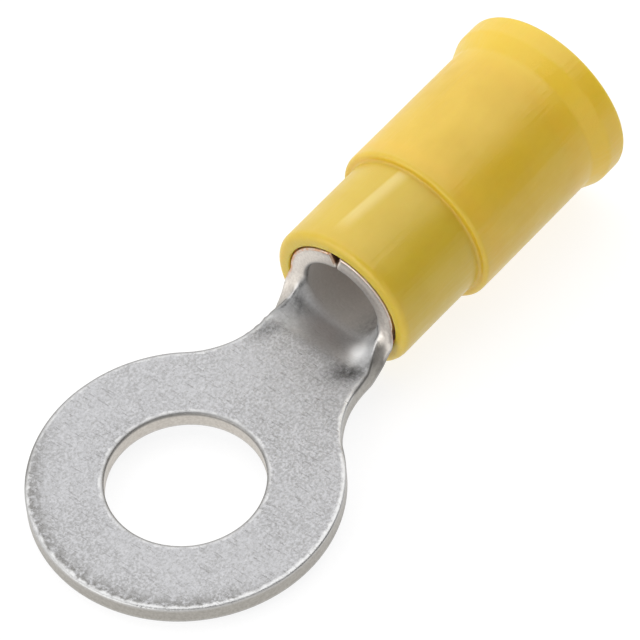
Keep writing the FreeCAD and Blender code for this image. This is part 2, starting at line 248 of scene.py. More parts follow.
def inside(loop, p):
    x, y = p[:, 0], p[:, 1]
    hit = np.zeros(len(p), bool)
    a, b = loop, np.roll(loop, -1, axis=0)
    for (x0, y0), (x1, y1) in zip(a, b):
        if y0 == y1:
            continue
        cross = ((y0 > y) != (y1 > y)) & (x < (x1 - x0) * (y - y0) / (y1 - y0) + x0)
        hit ^= cross
    return hit


# interior points: a staggered grid over ring and neck, straight rows in the barrel
grid = []
g = 0.17
row = 0
y = -R_RING - 0.3
while y < R_RING + 0.3:
    x = -R_RING - 0.3 + (0.5 * g if row % 2 else 0)
    while x < X_FRONT - 0.06:
        grid.append((x, y))
        x += g
    y += g * 0.866
    row += 1
barrel_x = sorted(set([round(X_FRONT + 0.06 + 0.12 * i, 4) for i in range(44)]
                      + [round(v, 4) for gx in GROOVES for v in (gx, gx + 0.06, gx + GROOVE_W * 0.42, gx + GROOVE_W / 2,
                                                                 gx + GROOVE_W * 0.58, gx + GROOVE_W - 0.06, gx + GROOVE_W)]))
kept = []
for v in barrel_x:
    if not kept or v - kept[-1] > 0.028:
        kept.append(v)
barrel_x = [v for v in kept if v < X_REAR]
n_s = int((S_PLUS - S_MINUS) / 0.15)
for v in barrel_x:
    for j in range(n_s + 1):
        grid.append((v, S_MINUS + (S_PLUS - S_MINUS) * j / n_s))
grid = np.array(grid)
grid = grid[inside(outer_loop, grid)]
grid = grid[np.hypot(grid[:, 0], grid[:, 1]) > R_HOLE]
far = np.minimum(distance_to(outer_loop, grid), distance_to(hole_loop, grid))
grid, far = grid[far > 0.27 + 0.06], far[far > 0.27 + 0.06]
points += [tuple(p) for p in grid]
depth += list(far)

result = delaunay_2d_cdt([Vector(p) for p in points], edges, [], 0, 1e-7)
flat = np.array([tuple(v) for v in result[0]])
index_of = {}
for new, originals in enumerate(result[3]):
    for old in originals:
        index_of[old] = new
flat_depth = np.zeros(len(flat))
for old, d in enumerate(depth):
    flat_depth[index_of[old]] = d
tris = np.array([f for f in result[2]])
centre = flat[tris].mean(1)
tris = tris[inside(outer_loop, centre) & ~inside(hole_loop, centre)]
area = 0.5 * ((flat[tris[:, 1], 0] - flat[tris[:, 0], 0]) * (flat[tris[:, 2], 1] - flat[tris[:, 0], 1])
              - (flat[tris[:, 2], 0] - flat[tris[:, 0], 0]) * (flat[tris[:, 1], 1] - flat[tris[:, 0], 1]))
tris[area < 0] = tris[area < 0][:, ::-1]
tris = tris[np.abs(area) > 1e-9]


# ------------------------------------------------------------------ forming the blank
def formed(xs, offset):
    """Blank points (x, s) at an offset from the mid surface (positive outwards, down) in space."""
    x, s = xs[:, 0], xs[:, 1]
    k = np.maximum(curl_part(x) / R_MID, 1e-4)
    r = 1.0 / k
    b = T / 2 + (Z_AXIS - R_MID - T / 2) * smoothstep((x - X_FLOOR) / (X_FRONT - X_FLOOR))
    # the gap between the butted edges opens outwards
    h = np.clip((offset + T / 2) / T, 0, 1)
    open_ = 0.215 * h ** 1.25 * smoothstep((x - X_FRONT + 0.9) / 0.9)
    for edge, sign in ((S_PLUS, -1), (S_MINUS, 1)):
        s = s + sign * open_ * (1 - smoothstep(np.abs(edge - s) / 0.75)) * (np.abs(s) > 5)
    a = s * k
    rr = r + offset
    return np.c_[x, rr * np.sin(a), b + r - rr * np.cos(a)]


def quarter(d, width, drop):
    u = np.clip(1 - d / width, 0, 1)
    return drop * (1 - np.sqrt(np.maximum(1 - u * u, 0)))


# die roll: the upper corner of the cut edge is rolled over, the lower one is sharper
ROLL_W, ROLL_D = 0.155, 0.092
BREAK_W, BREAK_D = 0.085, 0.06
wave = lattice(3)
fine = lattice(5)


def lower_edge_noise(p):
    return fine(np.c_[p * 9.0, np.full(len(p), 1.7)])


roll = 1 + 0.16 * wave(np.c_[flat * 0.9, np.zeros(len(flat))])
top_offset = -T / 2 + quarter(flat_depth, ROLL_W * roll, ROLL_D * roll)
bottom_offset = T / 2 - quarter(flat_depth, BREAK_W, BREAK_D)
# wire-grip grooves in the barrel's inside
for gx in GROOVES:
    u = np.abs(flat[:, 0] - (gx + GROOVE_W / 2)) / (GROOVE_W / 2)
    top_offset = top_offset + np.where(flat_depth > 0.2, GROOVE_D * np.clip(1 - u, 0, 1), 0)

top = formed(flat, top_offset)
bottom = formed(flat, bottom_offset)

# the press leaves shallow marks across the neck, where the punch's shoulders bear
def dent(p, cx, cy, lx, ly, turn, depth_mm):
    c, s = math.cos(turn), math.sin(turn)
    u = ((p[:, 0] - cx) * c + (p[:, 1] - cy) * s) / lx
    v = (-(p[:, 0] - cx) * s + (p[:, 1] - cy) * c) / ly
    return depth_mm * np.exp(-(u * u + v * v))


marks = dent(flat, 7.75, -1.75, 0.55, 0.32, 0.5, 0.035) + dent(flat, 7.30, 2.15, 0.5, 0.28, -0.5, 0.03)
marks = marks * (1 + 0.7 * wave(np.c_[flat * 4.0, np.full(len(flat), 9.0)]))
heel = 0.075 * smoothstep((flat[:, 0] - 7.45) / 0.55) * (1 - smoothstep((flat[:, 0] - 8.5) / 0.8))
heel = heel * np.exp(-((flat[:, 1] + 1.75) / 0.65) ** 2)
top[:, 2] -= marks + heel

n = len(flat)
verts = [top, bottom]
cut = [np.clip(1 - flat_depth / 0.05, 0, 1) * 0.6, np.clip(1 - flat_depth / 0.04, 0, 1) * 0.6]
edge_mm = [flat_depth, flat_depth]
side = [np.zeros(n), np.ones(n)]
faces = [tuple(t) for t in tris] + [tuple(t[::-1] + n) for t in tris]
base = 2 * n
ROWS = 7
for (loop, mitre), ids in zip(loops, ring_ids):
    m = len(loop)
    first = np.array([index_of[ids[0] + i] for i in range(m)])
    rows = [first]
    for j in range(1, ROWS):
        f = j / ROWS
        off = top_offset[first] * (1 - f) + bottom_offset[first] * f
        # a burnished band, then a slightly recessed, rougher broken band
        broken = smoothstep((f - 0.42) / 0.22) * (1 - smoothstep((f - 0.92) / 0.08))
        p = loop + mitre * (0.020 * broken * (1 + 0.5 * lower_edge_noise(loop)) + 0.004 * broken * fine(np.c_[loop * 30, np.full(m, f * 5)]))[:, None]
        verts.append(formed(p, off))
        cut.append(np.ones(m)); edge_mm.append(np.zeros(m)); side.append(np.full(m, f))
        rows.append(np.arange(base, base + m))
        base += m
    rows.append(first + n)
    for a_, b_ in zip(rows[:-1], rows[1:]):
        for i in range(m):
            j = (i + 1) % m
            faces.append((a_[j], a_[i], b_[i], b_[j]))
verts = np.vstack(verts)
cut, edge_mm, side = np.concatenate(cut), np.concatenate(edge_mm), np.concatenate(side)

# rough sheared burr along the edge of the neck on the +Y side
burr_line = np.exp(-((verts[:, 0] - 7.6) / 0.75) ** 2) * (verts[:, 1] > 1.5) * np.clip(1 - edge_mm / 0.22, 0, 1) * (side < 0.6)
verts[:, 2] += burr_line * 0.045 * (0.3 + fine(verts * 7.0))
verts[:, 1] += burr_line * 0.030 * fine(verts * 9.0 + 31)

stamping = new_object("ring_terminal_stamping", verts, [tuple(int(i) for i in f) for f in faces])
attribute(stamping, "cut_edge", cut)
attribute(stamping, "edge_mm", edge_mm)
attribute(stamping, "underside", side)
blank_x = np.concatenate([flat[:, 0], flat[:, 0], np.zeros(len(verts) - 2 * n)])
face_up = np.concatenate([np.ones(n), np.zeros(len(verts) - n)])
# the trough: pressed smooth, and painted a lighter tone standing in for the light it reflects
attribute(stamping, "formed", face_up * smoothstep((blank_x - 7.9) / 0.5) * (1 - smoothstep((blank_x - 9.5) / 0.8)))
# inside the barrel: matte, and painted a lighter tone standing in for light entering the bore
attribute(stamping, "barrel_inside", face_up * smoothstep((blank_x - 9.35) / 0.8))

# rubbed and grimy places on the neck, painted shade inside the barrel and a darker patch low on its outer wall at -Y,
# kept as weights on the vertices
everywhere = verts


def blot(cx, cy, lx, ly, turn):
    c, s = math.cos(turn), math.sin(turn)
    u = ((everywhere[:, 0] - cx) * c + (everywhere[:, 1] - cy) * s) / lx
    v = (-(everywhere[:, 0] - cx) * s + (everywhere[:, 1] - cy) * c) / ly
    return np.exp(-(u * u + v * v))


rub_and_shade = 0.95 * blot(7.93, -1.86, 0.80, 0.44, -0.75) + 0.70 * blot(9.20, 1.80, 0.42, 0.34, 0.9) + 0.50 * blot(7.55, 2.15, 0.55, 0.36, -0.4)
# the blot at 10.3, -1.4 is painted shade inside the barrel on its -Y side
rub_and_shade += 0.62 * blot(10.3, -1.4, 1.0, 0.9, 0.0) + 0.10 * blot(8.75, 1.35, 0.55, 0.75, 0.0) + 0.30 * blot(8.30, 1.85, 0.42, 0.55, 0.0)
# painted shade: a dark line where the barrel's inside meets the flaps' cut faces
blank_s = np.concatenate([flat[:, 1], flat[:, 1], np.zeros(len(verts) - 2 * n)])
rub_and_shade += 0.7 * np.exp(-((edge_mm - 0.10) / 0.07) ** 2) * face_up * smoothstep((blank_x - 9.3) / 0.3) * (blank_x < 10.6) * (np.abs(blank_s) > 2.2) * (np.abs(blank_s) < 6.6)
# the blot at 9.15, -2.55 darkens the barrel's outer wall low on the -Y side
rub_and_shade = np.where(everywhere[:, 2] > 0.35, rub_and_shade, 0.0) * (side < 0.5) + 0.85 * blot(9.15, -2.55, 0.55, 0.5, 0.0) * (everywhere[:, 2] < 1.9) * (everywhere[:, 1] < -2.25)
attribute(stamping, "rubbed_and_painted_shade", np.clip(rub_and_shade, 0, 1))
# painted glint: an amber glint on the front edge of the barrel's outside
outside_ = np.concatenate([np.zeros(n), np.ones(n), np.zeros(len(verts) - 2 * n)])
painted_amber_glint = outside_ * np.clip(1 - edge_mm / 0.13, 0, 1) * (blank_x > 9.6) * (blank_x < 10.1)
painted_amber_glint = painted_amber_glint * (0.9 * smoothstep((blank_s - 2.4) / 1.2) + 0.45 * smoothstep((-blank_s - 0.5) / 1.5))
attribute(stamping, "painted_amber_glint", np.clip(painted_amber_glint, 0, 1))
# painted highlight: a near-white spot on the trough's -Y flank
attribute(stamping, "painted_highlight", np.clip(1.6 * blot(9.00, -1.42, 0.46, 0.36, 0.3), 0, 1) * (side < 0.5) * (everywhere[:, 2] < 1.6))
# painted light: a lighter tone on the cut faces from the flaps back, and part strength on the hole's wall
in_hole = (np.hypot(verts[:, 0], verts[:, 1]) < R_HOLE + 0.15) * 0.55
attribute(stamping, "painted_light_faces", np.maximum(smoothstep((verts[:, 0] - 8.7) / 0.7), in_hole))
theta = np.arctan2(verts[:, 1], verts[:, 0])
grit = smoothstep((0.95 - edge_mm) / 0.85) * smoothstep((np.cos(theta - math.radians(178)) - 0.05) / 0.7)
grit = grit * smoothstep((np.hypot(verts[:, 0], verts[:, 1]) - 4.9) / 0.3) * (verts[:, 0] < 6.5)
attribute(stamping, "grit", grit)
# painted shade: rolled edges turned to the +X +Y side are painted dark, the others are rubbed bright
painted_edge_shade = np.zeros(len(verts))
for (loop, mitre), ids in zip(loops, ring_ids):
    m = len(loop)
    out_ = -mitre / np.linalg.norm(mitre, axis=1)[:, None]
    facing = smoothstep((out_ @ np.array([0.725, 0.688]) + 0.10) / 0.35) * (loop[:, 0] < 9.0)
    # and the sheared corner beside the press mark on the -Y side of the neck is darkened the same way
    facing = np.maximum(facing, 0.95 * (loop[:, 1] < -1.8) * smoothstep((loop[:, 0] - 7.0) / 0.4) * (1 - smoothstep((loop[:, 0] - 8.6) / 0.3)))
    for k_, d in enumerate(INSETS):
        w = np.clip(1 - d / 0.17, 0, 1)
        for i in range(m):
            # the hole's edges are painted dark all round
            painted_edge_shade[index_of[ids[k_] + i]] = max(facing[i], 0.85 if loop is hole_loop else 0.0) * w
attribute(stamping, "painted_edge_shade", painted_edge_shade)
wall_s = np.zeros(len(verts)); wall_x = np.zeros(len(verts))
at = 2 * n
for (loop, mitre), ids in zip(loops, ring_ids):
    for j in range(1, ROWS):
        wall_x[at:at + len(loop)], wall_s[at:at + len(loop)] = loop[:, 0], loop[:, 1]
        at += len(loop)
# the seam's cut faces, which get a painted brown shade for the butted gap
attribute(stamping, "seam", (wall_x > 9.78) * (wall_x < 14.9) * (np.abs(wall_s) > 5.0) * (side > 0.25))


# ------------------------------------------------------------------ turned pieces
def filleted(corners, closed=True, seg=7, step=0.22):
    """corners: (x, r, radius).  A closed profile with its corners rounded and its runs divided."""
    n_ = len(corners)
    out = []
    for i in range(n_):
        p0, p1, p2 = (np.array(corners[(i + k) % n_][:2], float) for k in (-1, 0, 1))
        rad = corners[i][2]
        u, v = p0 - p1, p2 - p1
        lu, lv = np.linalg.norm(u), np.linalg.norm(v)
        u, v = u / lu, v / lv
        cosang = float(np.clip(u @ v, -1, 1))
        half = math.acos(cosang) / 2
        if rad <= 0 or abs(math.pi / 2 - half) < 1e-3:
            out.append([p1])
            continue
        reach = min(rad / math.tan(half), 0.49 * lu, 0.49 * lv)
        rad = reach * math.tan(half)
        a, b = p1 + u * reach, p1 + v * reach
        c = p1 + (u + v) / np.linalg.norm(u + v) * (rad / math.sin(half))
        a0 = math.atan2(*(a - c)[::-1]); a1 = math.atan2(*(b - c)[::-1])
        d = (a1 - a0 + math.pi) % (2 * math.pi) - math.pi
        out.append([c + rad * np.array([math.cos(a0 + d * k / seg), math.sin(a0 + d * k / seg)]) for k in range(seg + 1)])
    pts = []
    for i in range(n_):
        pts += out[i]
        a, b = out[i][-1], out[(i + 1) % n_][0]
        gap = float(np.linalg.norm(b - a))
        if gap > 0.06:
            pts.append(a + (b - a) * (0.02 / gap))
            k = max(1, int(gap / step))
            for q in range(1, k):
                pts.append(a + (b - a) * (q / k))
            pts.append(b + (a - b) * (0.02 / gap))
    return np.array(pts)


def turned(name, corners, around, shape=None, seg=7, step=0.22):
    prof = filleted(corners, seg=seg, step=step)
    m = len(prof)
    ang = np.arange(around) * 2 * math.pi / around
    x = np.repeat(prof[:, 0][None], around, 0)
    r = np.repeat(prof[:, 1][None], around, 0)
    a = np.repeat(ang[:, None], m, 1)
    if shape is not None:
        x, r = shape(x, r, a)
    v = np.stack([x, r * np.sin(a), Z_AXIS + r * np.cos(a)], axis=2).reshape(-1, 3)
    f = []
    for i in range(around):
        k = (i + 1) % around
        for j in range(m):
            l = (j + 1) % m
            f.append((i * m + j, i * m + l, k * m + l, k * m + j))
    obj = new_object(name, v, f)
    return obj


support = turned("support_sleeve_liner", [
    (9.96, 2.605, 0.03), (9.96, 2.815, 0.04), (15.10, 2.815, 0.2), (15.55, 3.245, 0.2), (20.20, 3.245, 0.05),
    (20.20, 3.03, 0.05), (15.64, 3.03, 0.2), (15.19, 2.605, 0.2)], 192)

mould = lattice(11)


def moulded(x, r, a):
    """Slight sink and waviness of the moulded wall, a few hundredths of a millimetre."""
    p = np.stack([x * 0.35, r * np.sin(a) * 0.35, r * np.cos(a) * 0.35], axis=-1).reshape(-1, 3)
    q = np.stack([x * 1.1, r * np.sin(a) * 0.8, r * np.cos(a) * 0.8], axis=-1).reshape(-1, 3)
    w = (0.018 * mould(p + 40) + 0.006 * mould(q + 80)).reshape(r.shape)
    outside = r > 3.27
    # the lip round the barrel is a little off centre
    lip = np.where((r < 2.8) & (x < 9.97), 0.045 * np.cos(a + math.radians(75)), 0.0)
    ridge = np.where((r > 3.2) & (x < 14.41), 1.0, 0.0) * smoothstep((x - 10.3) / 1.6) * smoothstep((14.40 - x) / 0.2)
    off = r * np.sin(a) - (0.63 - (x - 10.75) * 0.0845)
    ridge = 0.030 * ridge * np.exp(-(off / 0.22) ** 2) * (np.cos(a) > 0)
    return x, np.where(outside, r + np.minimum(w, 0.0), r) + lip + ridge


shell = turned("insulating_sleeve_nylon", [
    (9.75, 2.69, 0.07), (9.75, 3.30, 0.36), (14.40, 3.30, 0.12), (14.40, 3.68, 0.26), (21.20, 3.68, 0.5),
    (22.00, 4.00, 0.5), (22.95, 4.00, 0.16), (22.95, 3.55, 0.16), (21.20, 3.26, 0.6), (15.55, 3.26, 0.2),
    (15.10, 2.82, 0.2), (9.94, 2.82, 0.03), (9.94, 2.69, 0.03)], 288, moulded)

for piece, node, slot in ((stamping, "ring_terminal", "tin_plate"), (support, "support_sleeve", "copper"),
                          (shell, "insulating_sleeve", "nylon")):
    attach(piece, "root")
    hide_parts(node)


# ------------------------------------------------------------------ materials
class Nodes:
    def __init__(self, name):
        self.mat = bpy.data.materials.new(name)
        self.mat.use_nodes = True
        self.tree = self.mat.node_tree
        self.tree.nodes.clear()
        self.out = self.add("ShaderNodeOutputMaterial")
        self.shader = self.add("ShaderNodeBsdfPrincipled")
        self.link(self.shader, 0, self.out, "Surface")
        self.coord = self.add("ShaderNodeTexCoord")
        self.mm = self.add("ShaderNodeMapping")
        self.mm.inputs["Scale"].default_value = (1000, 1000, 1000)
        self.link(self.coord, "Object", self.mm, "Vector")

    def add(self, kind, **props):
        node = self.tree.nodes.new(kind)
        for key, value in props.items():
            setattr(node, key, value)
        return node

    def link(self, a, i, b, j):
        self.tree.links.new(a.outputs[i], b.inputs[j])

    def mapped(self, scale=(1, 1, 1), rotation=(0, 0, 0), location=(0, 0, 0)):
        m = self.add("ShaderNodeMapping")
        m.inputs["Scale"].default_value = scale
        m.inputs["Rotation"].default_value = rotation
        m.inputs["Location"].default_value = location
        self.link(self.mm, 0, m, "Vector")
        return m

    def noise(self, scale, detail=3.0, rough=0.55, source=None, distortion=0.0):
        n_ = self.add("ShaderNodeTexNoise")
        n_.inputs["Scale"].default_value = scale
        n_.inputs["Detail"].default_value = detail
        n_.inputs["Roughness"].default_value = rough
        n_.inputs["Distortion"].default_value = distortion
        self.link(source or self.mm, 0, n_, "Vector")
        return n_

    def ramp(self, source, stops, output=0):
        r = self.add("ShaderNodeValToRGB")
        elements = r.color_ramp.elements
        while len(elements) > 1:
            elements.remove(elements[-1])
        elements[0].position = stops[0][0]
        elements[0].color = self.rgba(stops[0][1])
        for pos, colour in stops[1:]:
            e = elements.new(pos)
            e.color = self.rgba(colour)
        self.link(source, output, r, 0)
        return r

    @staticmethod
    def rgba(c):
        if isinstance(c, (int, float)):
            return (c, c, c, 1)
        return tuple(c) + (1,)

    def math(self, op, a, b=None, clamp=False):
        m = self.add("ShaderNodeMath", operation=op, use_clamp=clamp)
        for i, v in enumerate((a, b)):
            if v is None:
                continue
            if isinstance(v, (int, float)):
                m.inputs[i].default_value = v
            else:
                node, out = v if isinstance(v, tuple) else (v, 0)
                self.link(node, out, m, i)
        return m

    def mix(self, factor, a, b, blend="MIX"):
        m = self.add("ShaderNodeMix", data_type="RGBA", blend_type=blend)
        for socket, v in ((0, factor), (6, a), (7, b)):
            if isinstance(v, (int, float)):
                m.inputs[socket].default_value = v if socket == 0 else self.rgba(v)
            elif isinstance(v, tuple) and not hasattr(v[0], "outputs"):
                m.inputs[socket].default_value = self.rgba(v)
            else:
                node, out = v if isinstance(v, tuple) else (v, 0)
                self.link(node, out, m, socket)
        return (m, 2)

    def attr(self, name):
        return (self.add("ShaderNodeAttribute", attribute_name=name), "Fac")

    def bump(self, height, distance, strength=1.0, normal=None):
        b = self.add("ShaderNodeBump")
        b.inputs["Strength"].default_value = strength
        b.inputs["Distance"].default_value = distance
        node, out = height if isinstance(height, tuple) else (height, 0)
        self.link(node, out, b, "Height")
        if normal is not None:
            self.link(normal, 0, b, "Normal")
        return b

    def to(self, source, socket):
        node, out = source if isinstance(source, tuple) else (source, 0)
        self.link(node, out, self.shader, socket)


def srgb(r, g, b):
    return tuple(((c / 255) / 12.92 if c / 255 <= 0.04045 else ((c / 255 + 0.055) / 1.055) ** 2.4) for c in (r, g, b))


# --- tin plate: dull and mottled on the faces, burnished on the rolled edges, smoother and a
# little warmer on the cut edges; light and shade are painted into it in places, as marked below
tin = Nodes("tin_plate_worn_and_painted_light")
tin.shader.inputs["Metallic"].default_value = 1.0
cutf = tin.attr("cut_edge")
edge = tin.attr("edge_mm")
mottle = tin.noise(2.6, 5.0, 0.62)
grain = tin.noise(8.5, 4.0, 0.62)
speck = tin.noise(17.0, 2.0, 0.5)
cloud = tin.noise(0.42, 3.0, 0.5)
burnish = tin.add("ShaderNodeMapRange", interpolation_type="SMOOTHSTEP")
for name_, value_ in (("From Min", 0.25), ("From Max", 0.10), ("To Min", 0.0), ("To Max", 1.0)):
    burnish.inputs[name_].default_value = value_
tin.link(tin.math("ADD", edge, tin.math("MULTIPLY", tin.math("SUBTRACT", mottle, 0.47), 0.42)), 0, burnish, "Value")
# a few short scratches in three directions
scratch = None
for turn, loc in ((0.5, 0.0), (1.9, 7.0), (-0.75, 13.0)):
    src = tin.mapped(scale=(11, 1.3, 1.3), rotation=(0, 0, turn), location=(loc, loc, 0))
    s_ = tin.ramp(tin.noise(1.0, 1.0, 0.4, source=src), [(0.69, 0.0), (0.74, 1.0)])
    scratch = s_ if scratch is None else tin.math("MAXIMUM", scratch, s_)
tone = tin.ramp(mottle, [(0.28, srgb(181, 181, 182)), (0.50, srgb(193, 193, 195)), (0.72, srgb(202, 202, 204))])
tone2 = tin.ramp(grain, [(0.30, srgb(174, 173, 172)), (0.48, srgb(193, 193, 195)), (0.72, srgb(208, 208, 210))])
body_tone = tin.mix(0.55, tone, tone2)
dark_speck = tin.ramp(speck, [(0.30, 0.0), (0.40, 1.0)])
body_tone = tin.mix(dark_speck, srgb(176, 175, 173), body_tone)
# grey bloom where the plate is thin, in cloudy patches
bloom = tin.math("MULTIPLY", tin.ramp(cloud, [(0.42, 0.0), (0.62, 1.0)]), tin.ramp(grain, [(0.46, 1.0), (0.56, 0.0)]))
body_tone = tin.mix(tin.math("MULTIPLY", bloom, 0.30), body_tone, srgb(158, 157, 156))
coarse = tin.noise(4.6, 4.0, 0.7)
gritty = tin.math("MULTIPLY", tin.attr("grit"), tin.ramp(coarse, [(0.47, 1.0), (0.60, 0.0)]))
body_tone = tin.mix(tin.math("MULTIPLY", gritty, 0.75), body_tone, srgb(128, 126, 122))
painted_edge_shade_ = tin.attr("painted_edge_shade")
burnish = tin.math("MULTIPLY", burnish, tin.math("SUBTRACT", 1.0, painted_edge_shade_), clamp=True)
formed_and_painted_light_ = tin.attr("formed")      # pressed smooth in the trough, dull inside the barrel
inner_ = tin.attr("barrel_inside")
body_tone = tin.mix(tin.math("MULTIPLY", scratch, 0.45), body_tone, srgb(150, 149, 148))
# painted light: the trough is lightened
body_tone = tin.mix(tin.math("MULTIPLY", formed_and_painted_light_, 0.55), body_tone, srgb(226, 226, 226))
body_tone = tin.mix(burnish, body_tone, srgb(209, 209, 209))
# painted shade on the edges turned away
body_tone = tin.mix(tin.math("MULTIPLY", painted_edge_shade_, 0.85), body_tone, srgb(118, 116, 112))
# painted light: the barrel's inside is lightened
body_tone = tin.mix(tin.attr("barrel_inside"), body_tone, srgb(222, 219, 215))
# rubbed patches and painted shade darken the plate
rubbed_and_painted_shade = tin.attr("rubbed_and_painted_shade")
patchy_rub_and_shade = tin.math("MULTIPLY", rubbed_and_painted_shade, tin.ramp(coarse, [(0.38, 1.0), (0.64, 0.45)]))
body_tone = tin.mix(patchy_rub_and_shade, body_tone, srgb(96, 95, 94))
# painted highlight on the trough's -Y flank
painted_highlight = tin.attr("painted_highlight")
body_tone = tin.mix(painted_highlight, body_tone, srgb(254, 254, 254))
# painted glint: amber on the barrel's front edge
painted_amber_glint_ = tin.math("MULTIPLY", tin.attr("painted_amber_glint"), tin.ramp(coarse, [(0.42, 1.0), (0.62, 0.25)]))
body_tone = tin.mix(painted_amber_glint_, body_tone, srgb(214, 156, 104))
edge_tone = tin.mix(tin.ramp(grain, [(0.35, 0.0), (0.65, 1.0)]), srgb(163, 159, 152), srgb(180, 176, 169))
# painted light: those cut faces get a lighter tone
painted_light_face_tone = tin.mix(tin.ramp(grain, [(0.35, 0.0), (0.65, 1.0)]), srgb(214, 206, 197), srgb(233, 226, 217))
edge_tone = tin.mix(tin.attr("painted_light_faces"), edge_tone, painted_light_face_tone)
edge_tone = tin.mix(tin.math("MULTIPLY", rubbed_and_painted_shade, 0.8), edge_tone, srgb(112, 109, 106))
edge_tone = tin.mix(tin.math("MULTIPLY", painted_edge_shade_, 0.75), edge_tone, srgb(116, 114, 110))
edge_tone = tin.mix(painted_amber_glint_, edge_tone, srgb(214, 156, 104))
# painted shade: a brown tint on the seam's cut faces
edge_tone = tin.mix(tin.math("MULTIPLY", tin.attr("seam"), 0.7), edge_tone, srgb(150, 104, 60))
tin.to(tin.mix(cutf, body_tone, edge_tone), "Base Color")
rough_face = tin.ramp(grain, [(0.3, 0.68), (0.7, 0.56)])
rough_face = tin.math("SUBTRACT", rough_face, tin.math("MULTIPLY", formed_and_painted_light_, 0.08))
rough_face = tin.math("ADD", rough_face, tin.math("MULTIPLY", rubbed_and_painted_shade, 0.15))
rough_face = tin.math("ADD", rough_face, tin.math("MULTIPLY", inner_, 0.34))
rough_face = tin.math("SUBTRACT", rough_face, tin.math("MULTIPLY", burnish, 0.30))
rough_edge = tin.ramp(mottle, [(0.3, 0.42), (0.7, 0.34)])
mixr = tin.add("ShaderNodeMix", data_type="FLOAT")
tin.link(cutf[0], "Fac", mixr, 0)
tin.link(rough_face, 0, mixr, 2)
tin.link(rough_edge, 0, mixr, 3)
tin.to((mixr, 0), "Roughness")
height = tin.math("ADD", tin.math("MULTIPLY", mottle, 1.1), tin.math("MULTIPLY", grain, 0.60))
height = tin.math("ADD", height, tin.math("MULTIPLY", speck, 0.16))
height = tin.math("SUBTRACT", height, tin.math("MULTIPLY", scratch, 0.55))
calm = tin.math("SUBTRACT", 1.0, tin.math("MULTIPLY", cutf, 0.72))
calm = tin.math("MULTIPLY", calm, tin.math("SUBTRACT", 1.0, tin.math("MULTIPLY", tin.math("MAXIMUM", formed_and_painted_light_, inner_), 0.75)))
calm = tin.math("MULTIPLY", calm, tin.math("ADD", 0.72, tin.math("MULTIPLY", tin.math("MAXIMUM", tin.attr("grit"), rubbed_and_painted_shade), 1.0)))
b1 = tin.bump(tin.math("MULTIPLY", height, calm), 0.00002)
tin.to(b1, "Normal")
stamping.data.materials.append(tin.mat)

# --- bare copper, a little tarnished
cop = Nodes("copper_tarnished")
cop.shader.inputs["Metallic"].default_value = 1.0
cn = cop.noise(1.3, 4.0, 0.6)
cf = cop.noise(12.0, 3.0, 0.6, source=cop.mapped(scale=(0.25, 1, 1)))
cop.to(cop.mix(cop.ramp(cn, [(0.35, 0.0), (0.65, 1.0)]), srgb(196, 118, 72), srgb(222, 150, 98)), "Base Color")
cop.to(cop.ramp(cf, [(0.3, 0.26), (0.7, 0.46)]), "Roughness")
cop.to(cop.bump(cf, 0.00002), "Normal")
support.data.materials.append(cop.mat)

# --- translucent nylon
ny = Nodes("nylon_yellow")
ny.shader.inputs["Specular IOR Level"].default_value = 0.62
ny.shader.inputs["IOR"].default_value = 1.53
ny.shader.inputs["Subsurface Weight"].default_value = 0.45
ny.shader.inputs["Subsurface Radius"].default_value = (1.0, 0.68, 0.25)
ny.shader.inputs["Subsurface Scale"].default_value = 0.0011
big = ny.noise(0.32, 3.0, 0.5, distortion=0.4)
mid = ny.noise(1.4, 3.0, 0.5)
tiny = ny.noise(14.0, 3.0, 0.6)
sep = ny.add("ShaderNodeSeparateXYZ")
ny.link(ny.mm, 0, sep, "Vector")
rear_zone = ny.add("ShaderNodeMapRange", interpolation_type="SMOOTHSTEP")
rear_zone.inputs["From Min"].default_value = 14.1
rear_zone.inputs["From Max"].default_value = 15.2
ny.link(sep, "X", rear_zone, "Value")
front_c = ny.mix(ny.ramp(big, [(0.35, 0.0), (0.65, 1.0)]), srgb(216, 184, 46), srgb(223, 190, 58))
rear_c = ny.mix(ny.ramp(big, [(0.35, 0.0), (0.65, 1.0)]), srgb(231, 189, 45), srgb(237, 195, 56))
col = ny.mix((rear_zone, 0), front_c, rear_c)
col = ny.mix(ny.math("MULTIPLY", ny.ramp(mid, [(0.3, 1.0), (0.6, 0.0)]), 0.08), col, srgb(205, 155, 40))


def ranged(source, output, low, high, a, b):
    r = ny.add("ShaderNodeMapRange", interpolation_type="SMOOTHSTEP")
    for name, value in (("From Min", low), ("From Max", high), ("To Min", a), ("To Max", b)):
        r.inputs[name].default_value = value
    ny.link(source, output, r, "Value")
    return r


# past the support sleeve the wall is clear of copper and looks a little paler
clear = ranged(sep, "X", 19.9, 21.6, 0.0, 0.7)
col = ny.mix((clear, 0), col, srgb(236, 203, 54))
# painted highlight: a pale streak along the front section
off_streak = ny.math("ADD", (sep, "Y"), ny.math("SUBTRACT", ny.math("MULTIPLY", ny.math("SUBTRACT", (sep, "X"), 10.75), 0.0845), 0.63))
painted_streak = ny.math("MULTIPLY", ranged(off_streak, 0, -0.55, -0.08, 0.0, 1.0), ranged(off_streak, 0, 0.04, 0.22, 1.0, 0.0))
painted_streak = ny.math("MULTIPLY", painted_streak, ranged(sep, "X", 10.2, 11.6, 0.0, 1.0))
painted_streak = ny.math("MULTIPLY", painted_streak, ranged(sep, "X", 14.15, 14.38, 1.0, 0.0))
painted_streak = ny.math("MULTIPLY", painted_streak, ranged(sep, "Z", 4.2, 4.8, 0.0, 1.0))
col = ny.mix(ny.math("MULTIPLY", painted_streak, 0.72), col, srgb(240, 214, 132))
ny.to(col, "Base Color")
ny.to(ny.ramp(mid, [(0.3, 0.40), (0.7, 0.31)]), "Roughness")
streaky = ny.noise(3.0, 3.0, 0.55, source=ny.mapped(scale=(0.12, 1, 1)))
